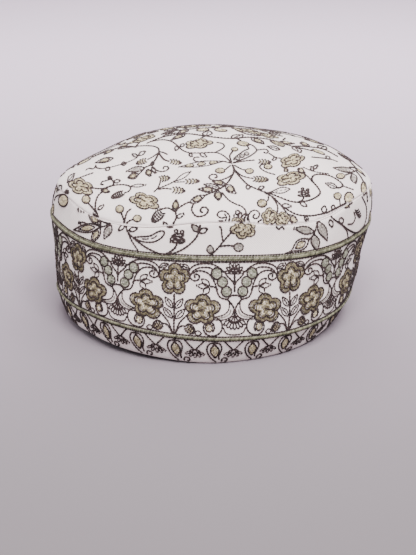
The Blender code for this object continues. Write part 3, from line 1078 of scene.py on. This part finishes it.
crownMiddle = [  # around the top of the crown, in mm seen from above
    ("line", [(-27, 15), (-16, 8), (-4, 9), (6, 14), (15, 25), (28, 30)]),
    ("flower", (-9, 23.5), 18, 15, -80, {"tilt": 12}),
    ("line", [(-8.6, 15.6), (-7, 9)]),
    ("flower", (20, 9.5), 17, 15, 140, {"tilt": -20}),
    ("line", [(13, 14.6), (9.6, 17.6)]),
    ("berry", (5, 1.6), 7, 6.4),
    ("line", [(4, 5), (-0.6, 9.8)]),
    ("seedLeaf", (-14, 7.4), (-17.5, -2), 5.4),
    ("veinLeaf", (-20, 10), (-28, 4.6), 4.8),
    ("seedLeaf", (2, 11.6), (4.6, 22), 5.4),
    ("veinLeaf", (9, 17.4), (7.4, 27.4), 4.8),
    ("bud", (15.6, 25.8), (11, 36), 7, {"bars": 5}),
    ("seedLeaf", (21, 28.2), (31, 21.6), 5),
    ("line", [(28, 30), (34.6, 30), (38, 26), (35.6, 22.4), (32.8, 24.6)]),
    ("berry", (-25, 24), 7.6, 7),
    ("line", [(-23, 20.4), (-18.4, 9.6)]),
    ("line", [(-35.5, -8.4), (-26, -2.6), (-14, -4), (-3, -11), (9, -13), (21, -7), (33, -5), (44, -11),
        (55, -8)]),
    ("flower", (-7, -21.6), 15, 13, 95, {"tilt": 20}),
    ("line", [(-6.2, -15), (-3.6, -10.8)]),
    ("berry", (17, -18.4), 6.4, 6),
    ("line", [(16.2, -15.4), (13.6, -11.4)]),
    ("seedLeaf", (22, -7), (28.4, -16), 5.4),
    ("bud", (34, -5.6), (38.4, -15.6), 7, {"bars": 5}),
    ("veinLeaf", (45, -10.6), (47.6, -20.8), 5),
    ("seedLeaf", (37, -7), (45.4, -0.6), 5),
    ("seedLeaf", (-14.6, -4.4), (-21.6, -12), 5),
    ("veinLeaf", (-3, -10.4), (-1.4, -1.2), 5.2),
    ("veinLeaf", (11, -12.6), (17.4, -3.4), 5),
    ("berry", (58.6, -5), 7, 6.4),
    ("flower", (31, 5.6), 13, 12, 100, {"rows": 2}),
    ("line", [(-14, -4), (-19.6, 1.2), (-25.4, 1), (-27, -2.6)]),
    ("line", [(-41, -11.4), (-48, -3), (-58, 2), (-67, -1)]),
    ("seedLeaf", (-49, -2.4), (-47.6, 7), 5),
    ("veinLeaf", (-57, 1.6), (-60.6, 10.6), 5.2),
    ("seedLeaf", (-55, 0.6), (-58.4, -7.4), 4.6),
    ("berry", (-70.4, -3.4), 7, 6.6),
    ("flower", (-38.6, 5.4), 16, 14, -70, {"tilt": 15}),
    ("line", [(-39.4, -1.6), (-41, -8.6)]),
    ("line", [(44, -11), (52, -1), (62, 4), (70, 0)]),
    ("seedLeaf", (52.6, -0.6), (50.6, 8.8), 5),
    ("veinLeaf", (60, 3.6), (64, 12.4), 5),
    ("line", [(75, -13), (79, -5), (77, 4), (80, 13), (77, 23), (79, 31)]),
    ("seedLeaf", (78.6, -5.6), (84, -11), 4.4),
    ("veinLeaf", (77.4, 4), (70.6, 9.6), 4.8),
    ("seedLeaf", (79.4, 11), (84.4, 7), 4.2),
    ("bud", (77.2, 22), (69.6, 26.4), 6.6, {"bars": 5}),
    ("berry", (79.6, 35), 6.6, 6.6),
]
stripSprig = [  # at the cap's sides, between the upper row and the seam, in mm across and above the row
    ("line", [(-22, 4.5), (-13, 9), (-4, 8), (5, 11), (13, 15)]),
    ("seedLeaf", (-13, 9), (-17.6, 16), 4.6),
    ("veinLeaf", (-4.6, 8), (-3, 15.6), 4.6),
    ("seedLeaf", (-9, 8.8), (-5.6, 3.2), 4.2),
    ("line", [(6, 11.4), (8.6, 9), (9, 7)]),
    ("bud", (9, 7.4), (11.6, 1.8), 6, {"bars": 5}),
    ("berry", (15.6, 16), 5.6, 5.6),
    ("berry", (-24.4, 4.6), 5.4, 5.4),
]
seamFlowers = [  # sewn before the panels were joined, so the seam cuts them: part shown, motif
    ("crown", ("flower", (269.2, 216.6), 15, 17, -60, {"rows": 2})),
    ("crown", ("flower", (282, 219.2), 15, 15, 240, {"rows": 2})),
    ("crown", ("flower", (237.6, 222.6), 14, 9, 200, {"rows": 2})),
    ("band", ("flower", (243.4, 229.4), 25, 19, 140)),
    ("band", ("thin", [(275.5, 225.6), (278.4, 228.8), (282, 226.8), (284.2, 229.6)])),
    ("crown", ("thin", [(225.4, 217.3), (221.2, 218), (217.5, 215.3), (219.5, 211.7), (224.8, 211.5),
        (229.1, 215.3), (229.1, 220), (225.8, 224)])),
    ("crown", ("thin", [(224.4, 213.6), (226.4, 217.6), (224.6, 222.6)])),
    ("crown", ("berry", (220.8, 224.4), 8.4, 7, {"filling": None})),
    ("crown", ("thin", [(262, 219.4), (258.4, 221.6), (256.8, 224.6)])),
    ("crown", ("veinLeaf", (305, 215.6), (307.6, 222), 3.6)),
    ("crown", ("hair", [(186.2, 223.9), (196.3, 222.2), (201.6, 222.6)])),
]
bandTop = [  # between the seam and the upper row
    ("line", [(125.9, 225.3), (128.2, 232.2), (133.8, 237.8), (140.4, 243.3), (149.4, 249.1),
        (161.7, 254.5)]),
    ("thin", [(128.2, 232.2), (131.5, 240), (138.2, 250.6)]),
    ("leaf", (129, 230.4), (138, 228.2), 4),
    ("thin", [(133.8, 237.2), (140, 236.6), (150, 235.8), (157.6, 232), (162, 230.9), (164.6, 232.8),
        (161, 238), (154, 241.7), (145, 241.9), (138, 240), (133.8, 237.2)]),
    ("hair", [(142, 238.8), (146, 239), (149, 238.6)]),
    ("hair", [(151, 238.6), (154.6, 237.4), (157, 235.4)]),
    ("cone", (177.6, 242.4), (179.6, 229.4), 14.5),
    ("leaf", (177.8, 242.2), (171, 238.2), 4),
    ("leaf", (177.8, 242.2), (184.8, 240.6), 4),
    ("line", [(177.3, 242.6), (175, 247.8), (168.3, 252.8), (162.8, 254.5)]),
    ("line", [(162.8, 254.5), (173.9, 253), (185.1, 247.8), (195.1, 238.9), (199.2, 231),
        (200.2, 224.6)]),
    ("paleLeaf", (198.8, 231.4), (191.4, 224.6), 5.4),
    ("leaf", (199.4, 232.4), (207.8, 228.4), 5),
    ("line", [(210.6, 255.4), (216.5, 249.5), (222.4, 242.4), (229.5, 234.2), (234, 229.2)]),
    ("line", [(223, 241.6), (221.8, 234.2), (221.2, 228.3), (219, 226.4)]),
    ("berry", (238.5, 247.1), 9, 8, {"filling": "vineFill"}),
    ("line", [(234.2, 246), (228.3, 245.4), (219.6, 246.2)]),
    ("fullLeaf", (210.4, 253.6), (209.8, 244.8), 6.2),
    ("line", [(316.8, 220), (316.4, 225.9), (313.5, 234.2), (308.5, 239.6)]),
    ("fullLeaf", (314.4, 231.8), (294, 228.2), 7.4),
    ("fullLeaf", (318, 221.2), (327, 240.4), 8.2),
    ("fullLeaf", (313.7, 234.2), (316.8, 250.9), 8.4),
    ("seedLeaf", (308.7, 238.9), (291.6, 251), 10.4),
    ("thin", [(292, 250.7), (285, 253.4)]),
]
tealKnot = [("line", [(256.8, 221.4), (259.4, 223.6)], {"kind": "fine"})]


def fromAbove(x, y):
    return crownSkin.ray_cast(Vector((x * mm, y * mm, castFrom)), Vector((0, 0, -1)))[0], True


vineRoles = dict(bandRoles, flowerFill="khakiThread", vineFill="paleThread", core="khakiThread")


hidden = {  # cloth that the photo doesn't show
    "stripSprigs": ((92, 1), (-94, -1)),  # middle in degrees, and which way it grows
    "degreesPerMm": 0.65,
    "wholeTurn": 180,  # the turn at which every motif is repeated
    "aboveRow": 3.4 * mm,
    "turns": (180, 92, -92, 140, -140),  # degrees about the cap's axis, one after another
    "alone": ("flower", "berry", "bud", "cone"),  # what the later turns repeat
    "cell": 3.2 * mm,
    "crowded": {"line": 0.34},  # share of a motif that may lie where others are
    "crowdedElse": 0.05,
    "offTheCloth": 8 * mm,
    "photoReach": -4 * mm,  # nearer the front than this, the photo shows what there is
}


def vinesFromPhoto():
    # the photo's own sprigs, each kept so that it can be repeated where the camera doesn't see
    sprigs = {}
    charts = {
        "star": crownStar,
        "front": crownFront,
        "right": crownRight,
        "left": crownLeft,
        "upperLeft": crownUpperLeft,
        "far": crownFar,
        "bandTop": bandTop,
    }
    for name, chart in charts.items():
        sprigs[name] = drawItems(chart, fromPhoto, "vines", vineRoles)
        print("vines:", name, len(sprigs[name]), "motifs")
    sprigs["middle"] = drawItems(crownMiddle, fromAbove, "vines", vineRoles)
    for number, (middle, side) in enumerate(hidden["stripSprigs"]):

        def onStrip(across, up):
            angle = middle + side * across * hidden["degreesPerMm"]
            return fromBand(angle, rowHeight("upperRow", angle) + up * mm)

        sprigs[f"strip{number}"] = drawItems(stripSprig, onStrip, "vines", vineRoles)
    for side, motif in seamFlowers:
        drawItems([motif], fromPhoto, "vines", vineRoles, side)
    drawItems(tealKnot, fromPhoto, "vines", dict(vineRoles, outline="tealThread"))
    return sprigs


def crowdCells(routes):
    cells = set()
    for _, _, run in routes:
        cells |= {tuple(round(value / hidden["cell"]) for value in point) for point in run}
    return cells


def turnedMotif(name, routes, spin):
    # the motif's rows turned about the axis and laid on the cloth; a line is cut where it would leave it
    laid = []
    for role, kind, run in routes:
        row = []
        for point in run:
            place, _, _, distance = nearestSkin(spin @ point)
            low = rowHeight("upperRow", angleOf(place.x, place.y)) + hidden["aboveRow"]
            if distance < hidden["offTheCloth"] and place.z > low and place.y > hidden["photoReach"]:
                row.append(place)
            elif name == "line":
                laid.append((role, kind, row))
                row = []
            else:
                return []
        laid.append((role, kind, row))
    return laid


def hiddenVines(sprigs):
    # fills the cloth that the photo doesn't show with the same motifs
    drawn = [motif for sprig in sprigs.values() for motif in sprig]
    taken = set()
    for _, routes in drawn:
        taken |= crowdCells(routes)
    for turn in hidden["turns"]:
        spin = Matrix.Rotation(math.radians(turn), 3, "Z")
        count = 0
        fresh = set()
        for name, routes in drawn:
            if turn != hidden["wholeTurn"] and name not in hidden["alone"]:
                continue
            laid = turnedMotif(name, routes, spin)
            cells = crowdCells(laid)
            room = hidden["crowded"].get(name, hidden["crowdedElse"])
            if not cells or len(cells & taken) > room * len(cells):
                continue
            fresh |= cells
            count += 1
            for role, kind, run in laid:
                sew("vines", vineRoles[role], kind, run)
        taken |= fresh
        print("repeated", count, "motifs at", turn, "degrees")


hiddenVines(vinesFromPhoto())


# one mesh for each colour and place, from one modelled link

def modelLink():
    # a loop of thread, narrow where it starts and raised where the next one comes through
    work = bmesh.new()
    radius = linkShape["thread"]
    ring = bmesh.ops.create_circle(work, segments=linkShape["sides"], radius=radius)["verts"]
    bmesh.ops.rotate(work, verts=ring, cent=(0, 0, 0), matrix=Matrix.Rotation(math.radians(90), 3, "X"))
    bmesh.ops.translate(work, verts=ring, vec=(0.5 - radius * 0.9, 0, radius))
    bmesh.ops.spin(
        work,
        geom=work.verts[:] + work.edges[:],
        cent=(0, 0, 0),
        axis=(0, 0, 1),
        angle=2 * math.pi,
        steps=linkShape["steps"],
        use_merge=True,
    )
    bmesh.ops.recalc_face_normals(work, faces=work.faces)
    work.verts.ensure_lookup_table()
    ringPoints = np.array([v.co[:] for v in work.verts])
    faces = np.array([[v.index for v in f.verts] for f in work.faces])
    work.free()
    turn = np.arctan2(ringPoints[:, 1], ringPoints[:, 0])
    lie = ringPoints.copy()
    share = lie[:, 0] + 0.5
    lie[:, 1] *= linkShape["taper"] + (1 - linkShape["taper"]) * share
    lie[:, 2] *= 1 / (2 * radius)
    lie[:, 2] += linkShape["tilt"] * share
    fromMiddle = np.hypot(ringPoints[:, 0], ringPoints[:, 1]) - 0.5 + radius * 0.9
    around = np.arctan2(ringPoints[:, 2] - radius, fromMiddle)
    strand = np.stack([turn / (2 * np.pi), around / (2 * np.pi)], -1)
    uv = strand[faces]
    uv -= np.round(uv - uv[:, :1])  # no wrap inside a face
    return lie, faces, uv


def stitchPiece(name, linkRows, material):
    data = np.array(linkRows)
    lie, faces, uv = modelLink()
    count = len(data)
    middles = data[:, :3].copy()
    normals = np.empty((count, 3))
    for i in range(count):
        middles[i], normals[i], _, _ = nearestSkin(Vector(middles[i]))
    forward = data[:, 3:6]
    forward -= normals * (forward * normals).sum(1, keepdims=True)
    forward /= np.maximum(np.linalg.norm(forward, axis=1, keepdims=True), 1e-9)
    side = np.cross(normals, forward)
    reach, spread, thick, shade = data[:, 6:7], data[:, 7:8], data[:, 8:9], data[:, 9]
    points = (
        middles[:, None]
        + forward[:, None] * (reach[:, None] * lie[None, :, :1])
        + side[:, None] * (spread[:, None] * lie[None, :, 1:2])
        + normals[:, None] * (thick[:, None] * (lie[None, :, 2:] - linkShape["sunk"]))
    ).reshape(-1, 3)
    allFaces = (faces[None] + np.arange(count)[:, None, None] * len(lie)).reshape(-1)
    mesh = bpy.data.meshes.new(name)
    mesh.vertices.add(len(points))
    mesh.vertices.foreach_set("co", points.ravel())
    mesh.loops.add(len(allFaces))
    mesh.loops.foreach_set("vertex_index", allFaces.astype(np.int32))
    faceCount = count * len(faces)
    mesh.polygons.add(faceCount)
    mesh.polygons.foreach_set("loop_start", np.arange(0, faceCount * 4, 4, dtype=np.int32))
    mesh.update(calc_edges=True)
    mesh.uv_layers.new(name="strand").data.foreach_set("uv", np.tile(uv.reshape(-1), count))
    tone = mesh.attributes.new("shade", "FLOAT", "POINT")
    tone.data.foreach_set("value", np.repeat(shade * linkShape["shades"], len(lie)))
    mesh.shade_smooth()
    mesh.materials.append(material)
    piece = addObject(name, mesh)
    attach(piece, "root")
    return piece


linksPerPiece = 4000


def makeThreads():
    materials = {}
    total = 0
    for (place, thread), linkRows in sewn.items():
        if thread not in materials:
            materials[thread] = threadMaterial(thread)
        parts = math.ceil(len(linkRows) / linksPerPiece)
        for part in range(parts):
            some = linkRows[part * len(linkRows) // parts : (part + 1) * len(linkRows) // parts]
            name = f"{place}_{thread}_{part + 1}"
            piece = stitchPiece(name, some, materials[thread])
            total += len(some)
        print("thread:", place, thread, len(linkRows), "links")
    print("links in all:", total)


makeThreads()


# floor and light

studio = {
    "floorSize": 14.0,
    "floorNear": (0.136, 0.120, 0.127),
    "floorFar": (0.94, 0.78, 0.945),
    "floorDark": -0.45,  # metres behind the cap, where the near colour is
    "floorFade": (0.07, 1.45),  # metres from there, from the near colour to the far one
    "key": ((0.14, -0.90, 1.10), 0.7, 46.0),  # place, width, watts
    "fill": ((0.60, -0.30, 1.10), 0.7, 9.0),
    "left": ((-0.75, -0.35, 0.60), 0.7, 3.0),
    "back": ((0.1, 1.0, 1.2), 1.0, 18.0),
    "world": ((0.85, 0.79, 0.84), 0.65),
}


def addFloor():
    work = bmesh.new()
    bmesh.ops.create_grid(work, x_segments=1, y_segments=1, size=studio["floorSize"] / 2)
    mesh = bpy.data.meshes.new("floor")
    work.to_mesh(mesh)
    work.free()
    floor = addObject("floor", mesh)
    material, shader = newMaterial("palePaper", studio["floorFar"], 0.9, 0.1)
    place = addNode(material, "ShaderNodeTexCoord")
    parts = addNode(material, "ShaderNodeSeparateXYZ")
    fade = addNode(material, "ShaderNodeMapRange", interpolation_type="SMOOTHSTEP")
    fade.inputs["From Min"].default_value, fade.inputs["From Max"].default_value = studio["floorFade"]
    mix = mixNode(material, studio["floorNear"], studio["floorFar"])
    offset = mathNode(material, "SUBTRACT", studio["floorDark"])
    apart = addNode(material, "ShaderNodeMath", operation="ABSOLUTE")
    wire(
        material,
        (place, "Object", parts, "Vector"),
        (parts, "Y", offset, 0),
        (offset, "Value", apart, 0),
        (apart, "Value", fade, "Value"),
        (fade, "Result", mix, "Factor"),
        (mix, "Result", shader, "Base Color"),
    )
    mesh.materials.append(material)


def addLight(name, place, width, watts):
    data = bpy.data.lights.new(name, "AREA")
    data.size = width
    data.energy = watts
    lamp = addObject(name, data)
    lamp.location = place
    aim = Vector((0, 0, 0.05)) - Vector(place)
    lamp.rotation_euler = aim.to_track_quat("-Z", "Y").to_euler()


def addStudio():
    addFloor()
    for name in ("key", "fill", "left", "back"):
        addLight(name, *studio[name])
    world = bpy.data.worlds.new("studio")
    world.use_nodes = True
    colour, strength = studio["world"]
    background = world.node_tree.nodes["Background"]
    background.inputs["Color"].default_value = (*colour, 1)
    background.inputs["Strength"].default_value = strength
    bpy.context.scene.world = world
    print("studio set")


addStudio()
